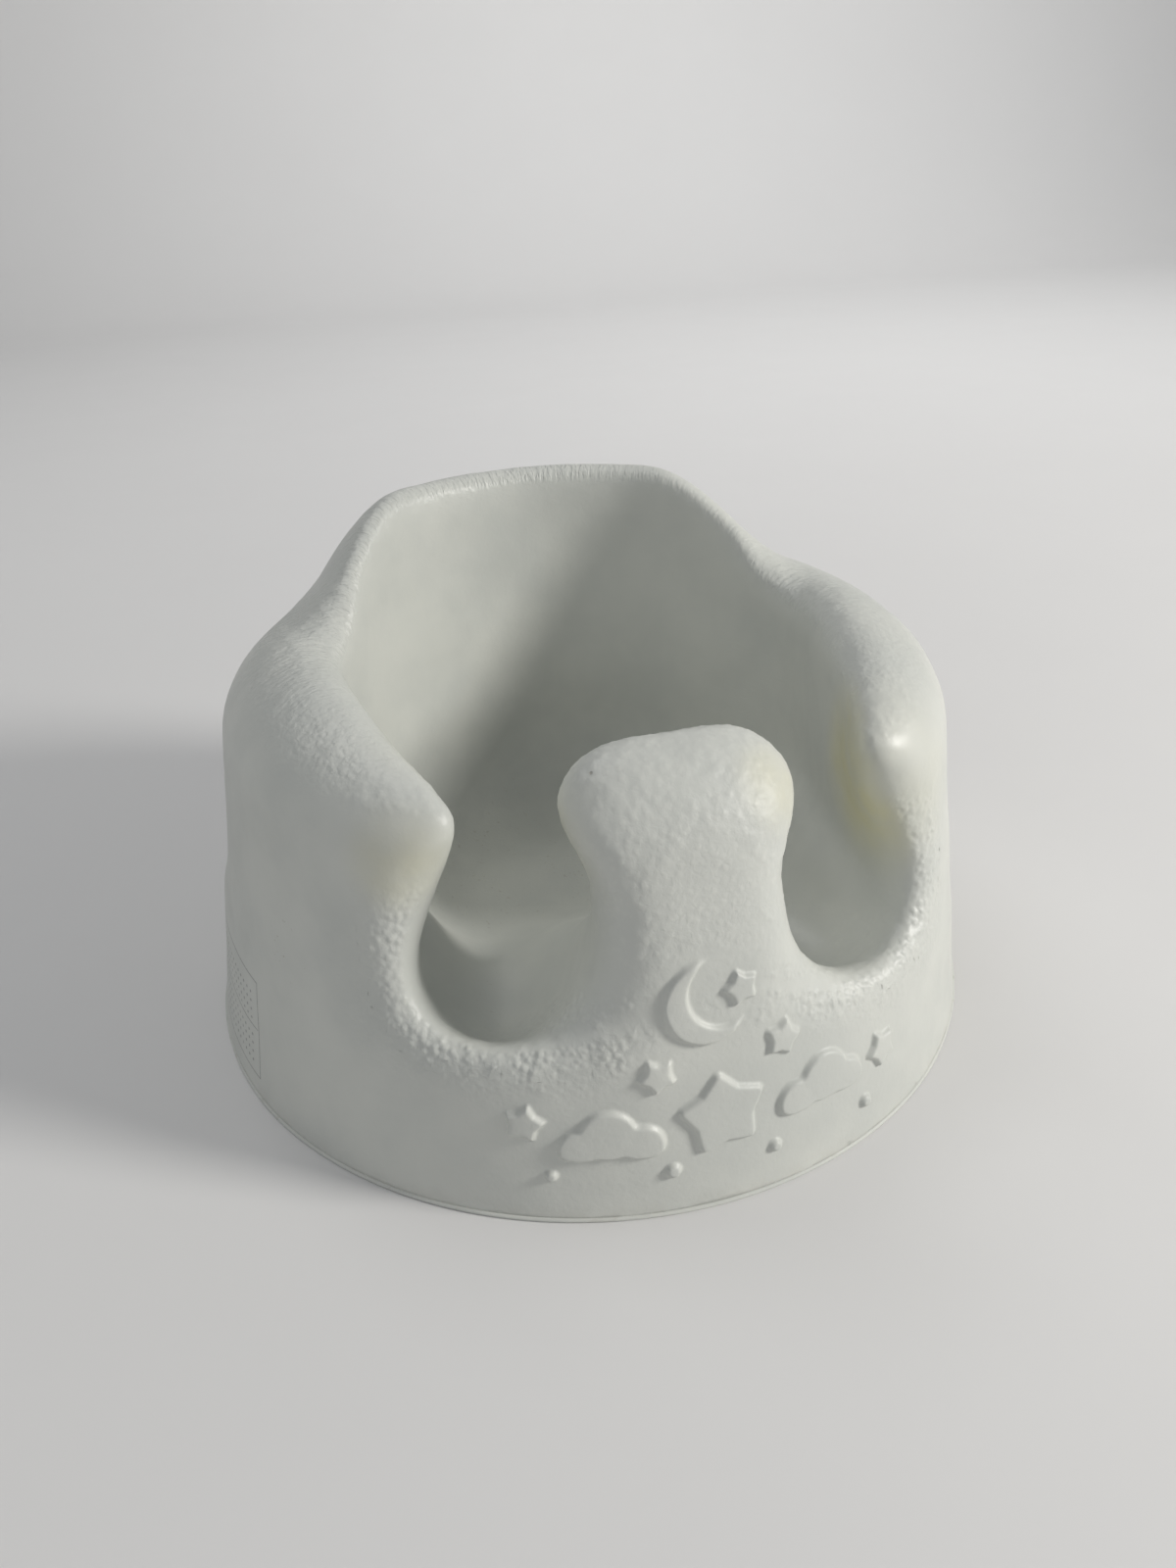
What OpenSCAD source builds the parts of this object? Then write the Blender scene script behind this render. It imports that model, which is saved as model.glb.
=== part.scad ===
// One-piece moulded foam floor seat for a baby who is learning to sit.
// A short tub with a round flat base, a high back, two broad arms that curl in at the front,
// and a mushroom-shaped post between two wide rounded leg openings.
// The whole outside is one smooth surface. It is written as a function of a point, negative
// inside the seat and near the distance in mm outside it, and meshed cell by cell.
// Frame: millimetres, +Z up, origin on the floor under the centre of the base, front towards -Y.

/* [Base and outer wall] */

// Diameter of the base on the floor
base_d = 380; // [350:1:420]
// How far the outer wall leans in for each mm of height
wall_lean = 0.158; // [0.08:0.002:0.2]
// How much less it leans beside the leg openings
front_upright = 0.023; // [0:0.001:0.05]
// How far below the height of the back the wall starts to curl in
curl_drop = 103; // [85:1:130]
// How fast it curls in, as inward mm for each square mm of height above that
curl_rate = 0.005; // [0.002:0.0005:0.007]
// Thickness of the skin on the underside
base_skin_t = 3; // [2:0.5:5]
// How far the moulding line at the floor stands out from the wall
parting_lip = 1; // [0.5:0.25:2]
// Height of that moulding line
parting_lip_h = 1.5; // [1:0.25:2.5]

/* [Rim] */

// Height of the back, measured before its edges are rounded over
back_h = 251; // [225:1:270]
// Height of the arms behind the middle, measured the same way
arm_h = 186; // [172:0.5:200]
// Height of the arms at their front ends, measured the same way
arm_tip_h = 178; // [165:1:185]
// Half width of the level part of the back rim
back_half_w = 62.5; // [50:0.5:80]
// Distance behind the centre where the back rim starts to fall towards the arms
back_fall_y = 44; // [35:1:70]
// Slope of that fall
back_fall_slope = 1.63; // [1:0.01:2]
// Softness of the bend where the fall starts
back_bend = 18; // [8:1:28]
// Size of the hollow curve where the fall runs out into the arm
shoulder_blend = 23; // [15:0.5:35]
// Rounding of the outer edge of the rim
rim_round = 34.5; // [24:0.5:44]
// Rounding of the inner edge of the back rim
back_inner_round = 30; // [20:1:36]
// Rounding of the inner edge of the arms
arm_inner_round = 18; // [12:1:26]

/* [Seat bowl] */

// Radius of the round seat bowl
bowl_r = 102; // [88:1:110]
// How much the bowl swells in the middle of its height
bowl_swell = 2; // [0:0.5:6]
// Height of the seat floor
seat_floor_h = 38; // [30:1:48]
// Radius between the seat floor and the bowl wall
bowl_fillet = 50; // [35:1:60]
// Half width of the seat between the arms
arm_gap_half_w = 107.4; // [95:0.2:112]
// Share of the forward distance that the arms use to close in, 1 follows the round bowl
arm_close = 0.583; // [0.35:0.001:0.7]

/* [Leg openings] */

// Distance of each leg opening from the middle at the front wall
leg_x = 48.5; // [44:0.5:58]
// Height of its centre at the front wall
leg_z = 124.7; // [118:0.1:135]
// Half height of the opening
leg_r = 52.5; // [44:0.5:56]
// Width of the opening as a share of its height
leg_wide = 1.27; // [1:0.01:1.4]
// How far inside the edge of the base that place is measured
leg_front_in = 34; // [25:1:50]
// Slope of the leg channel down to the seat floor
leg_slope = 0.95; // [0.7:0.05:1.2]
// How far the leg channels come together for each mm towards the seat
leg_splay = 0.3; // [0:0.02:0.4]
// Rounding of the outer edge of the opening
leg_edge_round = 18; // [12:1:28]
// Rounding where the channels run into the bowl
channel_blend = 18; // [12:1:24]

/* [Centre post] */

// Half width of the waist of the post
post_waist = 30.4; // [24:0.2:36]
// Half width of its head
post_head = 44.5; // [38:0.5:50]
// Height of its top before rounding
post_h = 186.5; // [170:0.5:200]
// Forward distance of its back face
post_back_y = 109.7; // [98:0.1:118]
// Height where the waist starts to widen
post_flare_start = 125.6; // [112:0.2:132]
// Height where the head has its full width
post_flare_end = 164.8; // [145:0.2:172]
// How much wider the head gets for each mm further forward
post_widen = 0.22; // [0:0.01:0.3]
// Rounding of the head
post_round = 24.8; // [14:0.2:28]
// Rounding over the top of the head
post_top_round = 29.7; // [20:0.1:36]
// Height below which the foot of the post widens
post_foot_h = 120; // [112:1:126]
// How much the foot widens to each side, about 60 mm further down
post_foot_side = 16; // [8:0.5:22]
// How much it widens there towards the seat
post_foot_back = 44; // [30:1:52]
// Rounding where the foot runs into the channels and the seat floor
post_foot_blend = 36; // [24:1:44]

/* [Side recesses] */

// Height of the centre of each finger recess
recess_z = 107; // [95:1:120]
// Distance of its centre behind the middle
recess_y = 30; // [10:1:45]
// Half length along the wall
recess_half_l = 33; // [26:1:40]
// Half height
recess_half_h = 25; // [20:1:30]
// Depth into the wall
recess_depth = 5; // [3:0.5:8]

/* [Foam] */

// Thickness of the dense skin over the soft core
skin_t = 3; // [2:0.5:5]
// Size of the cells that the outer surface is meshed with, on a base 380 mm across
mesh_cell = 13.6; // [13.6:0.1:18]

/* [Hidden] */

base_r = base_d / 2;
curl_start = back_h - curl_drop;
leg_front_y = base_r - leg_front_in;
// The front of the post leans back above a height, over a half width that fades into the openings
post_lean = 0.0007;
post_lean_z = 85;
post_lean_in = 35;
post_lean_out = 75;
// Forward distances between which the arms fall to their front ends
arm_fall_start = 25;
arm_fall_end = 115;
// Height where the bowl is widest, and how far its swell reaches up and down
swell_z = 112;
swell_reach = 38;
// Rounding of the channel floor, of the space between the arms and where it meets the channels
channel_bend = 16;
gap_blend = 12;
opening_blend = 20;
// The openings end this far behind the middle, fading over a length
opening_end_y = 20;
opening_fade = 30;
// Forward distance where the post has the half widths named above
post_width_y = 110;
// The foot of the post widens over this drop, and less steeply further down
post_foot_drop = 50;
post_foot_settle = 0.25;
// Rounding where the upper post meets the rest, and the heights between which it replaces the foot's
post_blend = 18;
post_blend_start = 95;
post_blend_end = 130;
// The outer edge is rounded more beside the foot, fading over these half widths and heights
foot_edge_in = 25;
foot_edge_out = 85;
foot_edge_low = 80;
foot_edge_high = 140;
// Rounding of the rim of a recess
recess_blend = 6;
// Distance of a recess centre from the middle, and the half size of its shape across the wall
recess_across = 9;
recess_r = base_r - wall_lean * recess_z;
recess_x = sqrt(recess_r * recess_r - recess_y * recess_y) + recess_across - recess_depth;
// The cells grow with the base, so that a larger seat has about as many of them
mesh_base_d = 380;
mesh_step = mesh_cell * (base_d / mesh_base_d);
// The mesh reaches well below the floor and is cut off at the skin of the underside
mesh_below = 20;
// Distance of the first layer of cells under the mesh, in cells
mesh_start = 1.06;

// Smooth largest and smallest of two values, rounded over a width k, and a smooth step
function big(a, b, k) = let(h = max(k - abs(a - b), 0) / k) max(a, b) + h * h * k / 4;
function small(a, b, k) = -big(-a, -b, k);
function ramp(v, a, b) = let(t = min(max((v - a) / (b - a), 0), 1)) t * t * (3 - 2 * t);

// Outer wall: a cone that curls in near the rim, with the front of the post leaning back
function wall_field(x, y, z) =
    let(over = max(z - curl_start, 0),
        upright = front_upright * ramp(-y, 0, 100) * ramp(x, 50, 120),
        lean = post_lean * pow(max(z - post_lean_z, 0), 2) * (1 - ramp(x, post_lean_in, post_lean_out))
            * ramp(-y, 0, 60))
    (norm([x, y]) - base_r + (wall_lean - upright) * z + curl_rate * over * over + lean) * 0.985;

// Rim: level along the back, falling at the shoulders, then running along the arms
function rim_field(x, y, z) =
    let(c = back_bend,
        d = norm([max(x - back_half_w, 0), max(back_fall_y - y, 0), c]) - c,
        arm = arm_tip_h + (arm_h - arm_tip_h) * ramp(y, -arm_fall_end, -arm_fall_start),
        raw = back_h - back_fall_slope * d,
        share = min(max(0.5 + (raw - arm) / shoulder_blend, 0), 1),
        slope = back_fall_slope * d / (d + c) * share)
    (z - big(raw, arm, shoulder_blend)) / sqrt(1 + 0.6 * slope * slope);

// Round seat bowl with a filleted floor
function bowl_field(x, y, z) =
    let(swell = bowl_swell * ramp(-y, -70, 10) * exp(-pow((z - swell_z) / swell_reach, 2)),
        side = norm([x, y]) - bowl_r - swell + bowl_fillet,
        down = seat_floor_h - z + bowl_fillet)
    norm([max(side, 0), max(down, 0)]) + min(max(side, down), 0) - bowl_fillet;

// Leg channels and the space between the arms above them
function leg_field(x, y, z) =
    let(cz = big(leg_z - leg_slope * (y + leg_front_y), seat_floor_h + leg_r, channel_bend),
        cx = leg_x - leg_splay * (y + leg_front_y),
        hole = (norm([(x - cx) / leg_wide, z - cz]) - leg_r) / sqrt(1 + leg_slope * leg_slope / 4),
        gap = norm([x, y > 0 ? y : y * arm_close]) - arm_gap_half_w)
    big(small(hole, big(gap, cz - z, gap_blend), opening_blend), y - opening_end_y, opening_fade);

// Post between the legs, on a foot that widens to the sides and towards the seat
function post_field(x, y, z) =
    let(down = max(post_foot_h - z, 0) / post_foot_drop,
        foot = down * down / (1 + post_foot_settle * down * down),
        w = post_waist + (post_head - post_waist) * ramp(z, post_flare_start, post_flare_end)
            + post_widen * (-y - post_width_y) + post_foot_side * foot,
        back = y + post_back_y - post_foot_back * foot)
    big(big(x - w, back, post_round), z - post_h, post_top_round);

// Finger recess in the side wall
function recess_field(x, y, z) =
    (norm([(x - recess_x) / recess_across, (y - recess_y) / recess_half_l,
        (z - recess_z) / recess_half_h]) - 1) * recess_across;

// The whole seat, for a point with x taken as positive
function seat_field(x, y, z) =
    let(inner = arm_inner_round + (back_inner_round - arm_inner_round) * ramp(z, 165, 205),
        open = small(bowl_field(x, y, z), leg_field(x, y, z), channel_blend),
        tub = big(rim_field(x, y, z), -open, inner),
        join = post_foot_blend + (post_blend - post_foot_blend) * ramp(z, post_blend_start, post_blend_end),
        by_foot = (1 - ramp(x, foot_edge_in, foot_edge_out)) * (1 - ramp(z, foot_edge_low, foot_edge_high)),
        edge = leg_edge_round + (rim_round - leg_edge_round) * (ramp(z, 95, 150) + by_foot),
        solid = big(small(tub, post_field(x, y, z), join), wall_field(x, y, z), edge))
    max(big(solid, -recess_field(x, y, z), recess_blend), -mesh_below - z);

// Mesh of the surface that lies a depth d under the outside.
// Each cell that the surface crosses gets one point, and four cells around an edge give a face.
// The grid holds the half with x from 0 up, and the other half is read as its mirror image.
nx = ceil(base_r / mesh_step) + 2;
ny = 2 * nx;
nz = ceil((back_h + mesh_below) / mesh_step) + 3;
z0 = -mesh_below - mesh_step * mesh_start;
function grid_point(i, j, k) = [i * mesh_step, (j - nx) * mesh_step, z0 + k * mesh_step];
half_grid = [for (i = [0:nx]) [for (j = [0:ny]) [for (k = [0:nz])
    let(p = grid_point(i, j, k)) seat_field(p.x, p.y, p.z)]]];

// Where four grid points of one square are inside and outside by turns, the nearer outside one
// is counted as inside, so that no edge of the mesh is shared by more than two faces
steps = [[1, 0, 0], [0, 1, 0], [0, 0, 1]];
turns = [for (m = [0:2]) for (a = [-1, 1]) for (b = [-1, 1]) [steps[m] * a, steps[(m + 1) % 3] * b]];
function at(g, n) = g[abs(n.x)][n.y][n.z];
function wedged(g, n, v) = len([for (t = turns)
    if (at(g, n + t[0]) < 0 && at(g, n + t[1]) < 0 && at(g, n + t[0] + t[1]) >= v) 1]) > 0;
function mend(g, times) = times == 0 ? g : mend([for (i = [0:nx]) [for (j = [0:ny]) [for (k = [0:nz])
    let(v = g[i][j][k])
    v >= 0 && v < mesh_step * 0.98 && wedged(g, [i, j, k], v) ? -0.01 : v]]], times - 1);
function grid_for(d) = mend([for (a = half_grid) [for (b = a) [for (v = b) v + d]]], 4);

// Point of one cell: the mean of the places where the surface crosses its twelve edges
corners = [[0, 0, 0], [1, 0, 0], [0, 1, 0], [1, 1, 0], [0, 0, 1], [1, 0, 1], [0, 1, 1], [1, 1, 1]];
edges = [for (a = [0:7]) for (m = [0:2]) if (corners[a][m] == 0) [a, a + pow(2, m)]];
function total(v) = [for (q = v) 1] * v;
function cell_point(n, v) =
    let(hits = [for (e = edges) let(a = v[e[0]], b = v[e[1]])
            if ((a < 0) != (b < 0)) corners[e[0]] + (corners[e[1]] - corners[e[0]]) * a / (a - b)])
    grid_point(n.x, n.y, n.z) + total(hits) / len(hits) * mesh_step;

// Moves a point onto the surface along the slope of the field
function field_at(p, d) = seat_field(abs(p.x), p.y, p.z) + d;
function onto(p, d) =
    let(s = 3, f = field_at(p, d), g = [for (t = steps) field_at(p + t * s, d) - f] / s,
        move = f * g / max(g * g, 0.3))
    p - move * min(1, mesh_step / 3 / max(norm(move), 0.01));

// Evens the points out: each goes towards the middle of its neighbours and back onto the surface
function settle(cells, d, times) = times == 0 ? cells : settle([for (c = [0:len(cells) - 1])
    cells[c] == 0 ? 0 :
    let(near = [for (o = [1, nz, ny * nz]) for (q = [cells[c - o], cells[c + o]]) if (q != 0) q])
    onto(0.4 * cells[c] + 0.6 * total(near) / len(near), d)], d, times - 1);

// Two triangles for four points, split along the diagonal that lies nearer the surface
function two_faces(q, p, d) =
    abs(field_at((p[q[0]] + p[q[2]]) / 2, d)) < abs(field_at((p[q[1]] + p[q[3]]) / 2, d))
    ? [[q[0], q[1], q[2]], [q[0], q[2], q[3]]]
    : [[q[1], q[2], q[3]], [q[1], q[3], q[0]]];

module surface_mesh(d) {
    grid = grid_for(d);
    cells = settle([for (i = [-nx:nx - 1]) for (j = [0:ny - 1]) for (k = [0:nz - 1])
        let(v = [for (c = corners) at(grid, [i, j, k] + c)])
        (min(v) < 0) != (max(v) < 0) ? onto(cell_point([i, j, k], v), d) : 0], d, 3);
    points = [for (c = cells) if (c != 0) c];
    ids = [for (c = 0, n = 0; c < len(cells); n = n + (cells[c] == 0 ? 0 : 1), c = c + 1) n];
    faces = [for (i = [1 - nx:nx - 1]) for (j = [1:ny - 1]) for (k = [1:nz - 1]) for (m = [0:2])
        let(n = [i, j, k], inside = at(grid, n) < 0)
        if (inside != (at(grid, n + steps[m]) < 0))
            let(a = steps[(m + 1) % 3], b = steps[(m + 2) % 3],
                around = [for (c = [n, n - a, n - a - b, n - b]) ids[((c.x + nx) * ny + c.y) * nz + c.z]])
            each two_faces(inside ? [for (c = [3:-1:0]) around[c]] : around, points, d)];
    polyhedron(points, faces);
}

// Everything above the skin of the underside
module above_base() {
    intersection() {
        children();
        translate([-base_r - 40, -base_r - 40, base_skin_t])
            cube([2 * base_r + 80, 2 * base_r + 80, back_h + 60]);
    }
}

// Dense skin of the moulding: the whole visible outside down to the skin of the underside
module moulded_skin() {
    color([0.72, 0.73, 0.7]) resize([0, 0, 0]) difference() {
        above_base() surface_mesh(0);
        surface_mesh(skin_t);
    }
}

// Soft foam inside the skin
module foam_core() {
    color([0.85, 0.83, 0.74]) resize([0, 0, 0]) above_base() surface_mesh(skin_t);
}

// Flat skin of the underside with the moulding line that stands out around its edge
module base_skin() {
    color([0.66, 0.67, 0.64]) union() {
        cylinder(h = parting_lip_h, r = base_r + parting_lip, $fn = 180);
        cylinder(h = base_skin_t, r = base_r - wall_lean * base_skin_t, $fn = 180);
    }
}

moulded_skin();
foam_core();
base_skin();
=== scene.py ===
import math

import bmesh
import bpy
import numpy as np
from mathutils import Matrix, Vector


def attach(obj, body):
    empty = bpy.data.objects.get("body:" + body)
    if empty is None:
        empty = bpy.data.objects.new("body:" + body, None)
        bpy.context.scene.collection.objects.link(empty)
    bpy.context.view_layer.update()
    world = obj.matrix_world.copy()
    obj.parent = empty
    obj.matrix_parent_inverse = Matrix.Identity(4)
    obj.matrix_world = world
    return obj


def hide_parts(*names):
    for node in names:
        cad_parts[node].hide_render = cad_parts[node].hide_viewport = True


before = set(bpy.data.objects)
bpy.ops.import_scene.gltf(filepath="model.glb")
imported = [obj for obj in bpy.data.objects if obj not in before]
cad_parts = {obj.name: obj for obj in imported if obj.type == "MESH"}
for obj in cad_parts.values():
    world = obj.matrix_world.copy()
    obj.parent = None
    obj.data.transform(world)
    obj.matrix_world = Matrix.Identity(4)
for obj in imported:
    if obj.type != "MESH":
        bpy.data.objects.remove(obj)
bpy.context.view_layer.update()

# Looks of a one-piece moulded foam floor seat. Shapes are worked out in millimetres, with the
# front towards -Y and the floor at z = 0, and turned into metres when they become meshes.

MM = 0.001

# ---- sizes of the seat in mm, the same values as in the part's source ----

# outer wall: radius at the floor, lean per mm, less lean at the front, and the curl near the rim.
# The scale brings the field near the distance from the leaning wall.
BASE_R = 190.0
WALL_LEAN = 0.158
FRONT_UPRIGHT = 0.023
UPRIGHT_X, UPRIGHT_Y = (50, 120), (0, 100)
CURL_START = 148.0
CURL_RATE = 0.005
WALL_SCALE = 0.985

# the front of the post leans back above a height, fading over these places
POST_LEAN = 0.0007
POST_LEAN_Z = 85
POST_LEAN_X, POST_LEAN_Y = (35, 75), (0, 60)

# rim: heights before rounding, where the back falls to the arms, and the roundings
BACK_H = 251.0
ARM_H = 186.0
ARM_TIP_H = 178.0
ARM_FALL_Y = (-115, -25)
BACK_HALF_W = 62.5
BACK_FALL_Y = 44.0
BACK_FALL_SLOPE = 1.63
BACK_BEND = 18.0
SHOULDER = 23.0
RIM_SLOPE_SHARE = 0.6
RIM_ROUND = 34.5
BACK_INNER = 30.0
ARM_INNER = 18.0
INNER_ROUND_Z = (165, 205)

# seat bowl, and the space between the arms
BOWL_R = 102.0
BOWL_SWELL = 2.0
SWELL_Y = (-70, 10)
SWELL_Z, SWELL_REACH = 112, 38
FLOOR_H = 38.0
BOWL_FILLET = 50.0
ARM_GAP = 107.4
ARM_CLOSE = 0.583

# leg openings and the channels behind them
LEG_X = 48.5
LEG_Z = 124.7
LEG_R = 52.5
LEG_WIDE = 1.27
LEG_FRONT_Y = 156.0
LEG_SLOPE = 0.95
LEG_SPLAY = 0.3
LEG_EDGE = 18.0
EDGE_ROUND_Z = (95, 150)
CHANNEL_BEND, GAP_BLEND, OPENING_BLEND, CHANNEL_BLEND = 16, 12, 20, 18.0
OPENING_END_Y, OPENING_FADE = 20, 30

# centre post and its foot
POST_WAIST = 30.4
POST_HEAD = 44.5
POST_H = 186.5
POST_BACK_Y = 109.7
POST_FLARE = (125.6, 164.8)
POST_WIDEN = 0.22
POST_WIDTH_Y = 110
POST_ROUND = 24.8
POST_TOP = 29.7
POST_BLEND = 18.0
POST_BLEND_Z = (95, 130)
FOOT_H = 120.0
FOOT_DROP, FOOT_SETTLE = 50, 0.25
FOOT_SIDE = 16.0
FOOT_BACK = 44.0
FOOT_BLEND = 36.0
FOOT_EDGE_X, FOOT_EDGE_Z = (25, 85), (80, 140)

# finger recess in each side wall
RECESS_Y = 30.0
RECESS_Z = 107.0
RECESS_L = 33.0
RECESS_H = 25.0
RECESS_DEPTH = 5.0
RECESS_ACROSS = 9.0
RECESS_BLEND = 6

# ---- sizes in mm of what only shows in the looks ----

# cell of the first mesh, and how far its grid reaches below the floor, sideways and up
NET_CELL = 5.6
NET_BELOW_CELLS = 3
NET_HALF, NET_TOP = 201.6, 240.8
# the wall goes down behind the moulding line at the floor, and flares out a little there. Points
# that are nearer its lower edge than the error lie on it.
WALL_BOTTOM = 1.0
CUT_ERROR = 0.01
FLARE = 0.5
FLARE_H = 7.0
# forward of this distance the pebbles are modelled, fading in, and behind it they are in the finish
FINE_Y = 90.0
FINE_FADE = 16
# height of the raised motifs, the radius at which their sideways distances are measured, and the
# part of the wall that holds them: radians to each side, forward of a place
RELIEF_H = 2.5
RELIEF_R = 181.0
RELIEF_ANGLE = 0.62
RELIEF_Y = -120

# where the shares of the surface fade: heights, places and distances in mm, or parts of a slope
OUTWARD, OUTWARD_LESS = (0.1, 0.5), 0.42
FACING_UP, RIM_Z = (0.08, 0.45), (138, 162)
OPENING_NEAR, WALL_AWAY, WALL_NEAR = (1.0, 7.0), (3, 9), (0.6, 4.5)
FRONT_Y = (95, 130)
FACE_X, FACE_Z = (30, 52), (96, 122)
LIP_START, LIP_END, LIP_Z = (0, 4), (7, 34), (118, 158)
LIP_CALM, LIP_CALM_X, LIP_CALM_Z = 0.65, (38, 60), (84, 104)
CHANNEL_Y, CHANNEL_Z = (88, 125), (80, 120)
MOTIF_NEAR = (0.0, 9.0)
POST_NEAR, POST_GRAIN_Z = (1.0, 9.0), (118, 150)
STROKES_Z, STROKES_Y = (185, 205), (-75, -5)
BACK_CALM, BACK_CALM_X, BACK_CALM_Y = 0.65, (15, 55), (0, 45)
FACE_GRAIN, LIP_GRAIN, CHANNEL_GRAIN, POST_GRAIN = 0.85, 0.9, 0.8, 0.8
MOTIF_CLEARS_GRAIN, MOTIF_CLEARS_LIP = 0.9, 0.8

# heights of the modelled pebbles and waves, their sizes, and the seeds of their patterns
LIP_PEBBLES = ((0.6, 2.9, 11), (0.3, 5.2, 13))
LIP_SINK = 0.2
FACE_PEBBLES = (0.34, 3.6, 17)
FACE_WAVES = (0.08, 12, 7)
WALL_WAVES = (0.16, 46, 3)
WALL_WAVES_Z = (4, 20)
LIP_MEAN, LIP_WAVES = 0.9, (0.2, 24, 23)


# ---- the surface: negative inside, near the distance in mm outside ----

def big(a, b, k):
    """The larger of two values, rounded over a width k."""
    h = np.maximum(k - np.abs(a - b), 0) / k
    return np.maximum(a, b) + h * h * k / 4


def small(a, b, k):
    """The smaller of two values, rounded over a width k."""
    return -big(-a, -b, k)


def ramp(v, a, b):
    """Smooth step from 0 at a to 1 at b."""
    t = np.clip((v - a) / (b - a), 0, 1)
    return t * t * (3 - 2 * t)


def wall_field(x, y, z):
    """Outer wall: a cone that curls in near the rim."""
    over = np.maximum(z - CURL_START, 0)
    upright = FRONT_UPRIGHT * ramp(-y, *UPRIGHT_Y) * ramp(x, *UPRIGHT_X)
    lean = POST_LEAN * np.maximum(z - POST_LEAN_Z, 0) ** 2
    lean = lean * (1 - ramp(x, *POST_LEAN_X)) * ramp(-y, *POST_LEAN_Y)
    away = np.hypot(x, y) - BASE_R
    return (away + (WALL_LEAN - upright) * z + CURL_RATE * over * over + lean) * WALL_SCALE


def rim_field(x, y, z):
    """Rim: level along the back, falling at the shoulders, then running along the arms."""
    c = BACK_BEND
    across = np.maximum(x - BACK_HALF_W, 0)
    forward = np.maximum(BACK_FALL_Y - y, 0)
    d = np.sqrt(across ** 2 + forward ** 2 + c * c) - c
    arm = ARM_TIP_H + (ARM_H - ARM_TIP_H) * ramp(y, *ARM_FALL_Y)
    raw = BACK_H - BACK_FALL_SLOPE * d
    share = np.clip(0.5 + (raw - arm) / SHOULDER, 0, 1)
    slope = BACK_FALL_SLOPE * d / (d + c) * share
    return (z - big(raw, arm, SHOULDER)) / np.sqrt(1 + RIM_SLOPE_SHARE * slope * slope)


def bowl_field(x, y, z):
    """Round seat bowl with a filleted floor."""
    swell = BOWL_SWELL * ramp(-y, *SWELL_Y) * np.exp(-((z - SWELL_Z) / SWELL_REACH) ** 2)
    side = np.hypot(x, y) - BOWL_R - swell + BOWL_FILLET
    down = FLOOR_H - z + BOWL_FILLET
    return (np.hypot(np.maximum(side, 0), np.maximum(down, 0))
            + np.minimum(np.maximum(side, down), 0) - BOWL_FILLET)


def leg_field(x, y, z):
    """Leg channels and the space between the arms above them."""
    centre = big(LEG_Z - LEG_SLOPE * (y + LEG_FRONT_Y), FLOOR_H + LEG_R + 0 * z, CHANNEL_BEND)
    side = (x - LEG_X + LEG_SPLAY * (y + LEG_FRONT_Y)) / LEG_WIDE
    hole = (np.hypot(side, z - centre) - LEG_R) / math.sqrt(1 + LEG_SLOPE ** 2 / 4)
    gap = np.hypot(x, np.where(y > 0, y, y * ARM_CLOSE)) - ARM_GAP
    opening = small(hole, big(gap, centre - z, GAP_BLEND), OPENING_BLEND)
    return big(opening, y - OPENING_END_Y, OPENING_FADE)


def post_field(x, y, z):
    """Post between the legs, on a foot that widens to the sides and towards the seat."""
    down = np.maximum(FOOT_H - z, 0) / FOOT_DROP
    foot = down * down / (1 + FOOT_SETTLE * down * down)
    half_w = (POST_WAIST + (POST_HEAD - POST_WAIST) * ramp(z, *POST_FLARE)
              + POST_WIDEN * (-y - POST_WIDTH_Y) + FOOT_SIDE * foot)
    back = y + POST_BACK_Y - FOOT_BACK * foot
    return big(big(x - half_w, back, POST_ROUND), z - POST_H, POST_TOP)


def recess_field(x, y, z):
    """Finger recess in the side wall."""
    r = BASE_R - WALL_LEAN * RECESS_Z
    centre_x = math.sqrt(r * r - RECESS_Y ** 2) + RECESS_ACROSS - RECESS_DEPTH
    u = (x - centre_x) / RECESS_ACROSS
    v = (y - RECESS_Y) / RECESS_L
    w = (z - RECESS_Z) / RECESS_H
    return (np.sqrt(u ** 2 + v ** 2 + w ** 2) - 1) * RECESS_ACROSS


def opening_field(x, y, z):
    return small(bowl_field(x, y, z), leg_field(x, y, z), CHANNEL_BLEND)


def seat_field(p):
    """The whole seat, which is the same left and right."""
    x, y, z = np.abs(p[..., 0]), p[..., 1], p[..., 2]
    inner = ARM_INNER + (BACK_INNER - ARM_INNER) * ramp(z, *INNER_ROUND_Z)
    tub = big(rim_field(x, y, z), -opening_field(x, y, z), inner)
    join = FOOT_BLEND + (POST_BLEND - FOOT_BLEND) * ramp(z, *POST_BLEND_Z)
    by_foot = (1 - ramp(x, *FOOT_EDGE_X)) * (1 - ramp(z, *FOOT_EDGE_Z))
    edge = LEG_EDGE + (RIM_ROUND - LEG_EDGE) * (ramp(z, *EDGE_ROUND_Z) + by_foot)
    solid = big(small(tub, post_field(x, y, z), join), wall_field(x, y, z), edge)
    return big(solid, -recess_field(x, y, z), RECESS_BLEND)


def gradient(p, e):
    """Slope of the field, from values e mm to each side."""
    g = np.empty_like(p)
    for axis in range(3):
        d = np.zeros(3)
        d[axis] = e
        g[:, axis] = (seat_field(p + d) - seat_field(p - d)) / (2 * e)
    return g


def unit(v):
    return v / np.linalg.norm(v, axis=1)[:, None]


def onto_surface(p, e, times=1):
    """Moves points onto the surface along the slope of the field."""
    least_slope, least_length = 0.6, 1e-6
    for _ in range(times):
        g = gradient(p, e)
        length = np.linalg.norm(g, axis=1)
        step = seat_field(p) / np.maximum(length, least_slope) / np.maximum(length, least_length)
        p = p - step[:, None] * g
    return p


# ---- surface nets: one point in each cell that the surface crosses ----

def neighbour_cells(at, b, c, db, dc):
    cell = at.copy()
    cell[:, b] += db
    cell[:, c] += dc
    return cell


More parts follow.
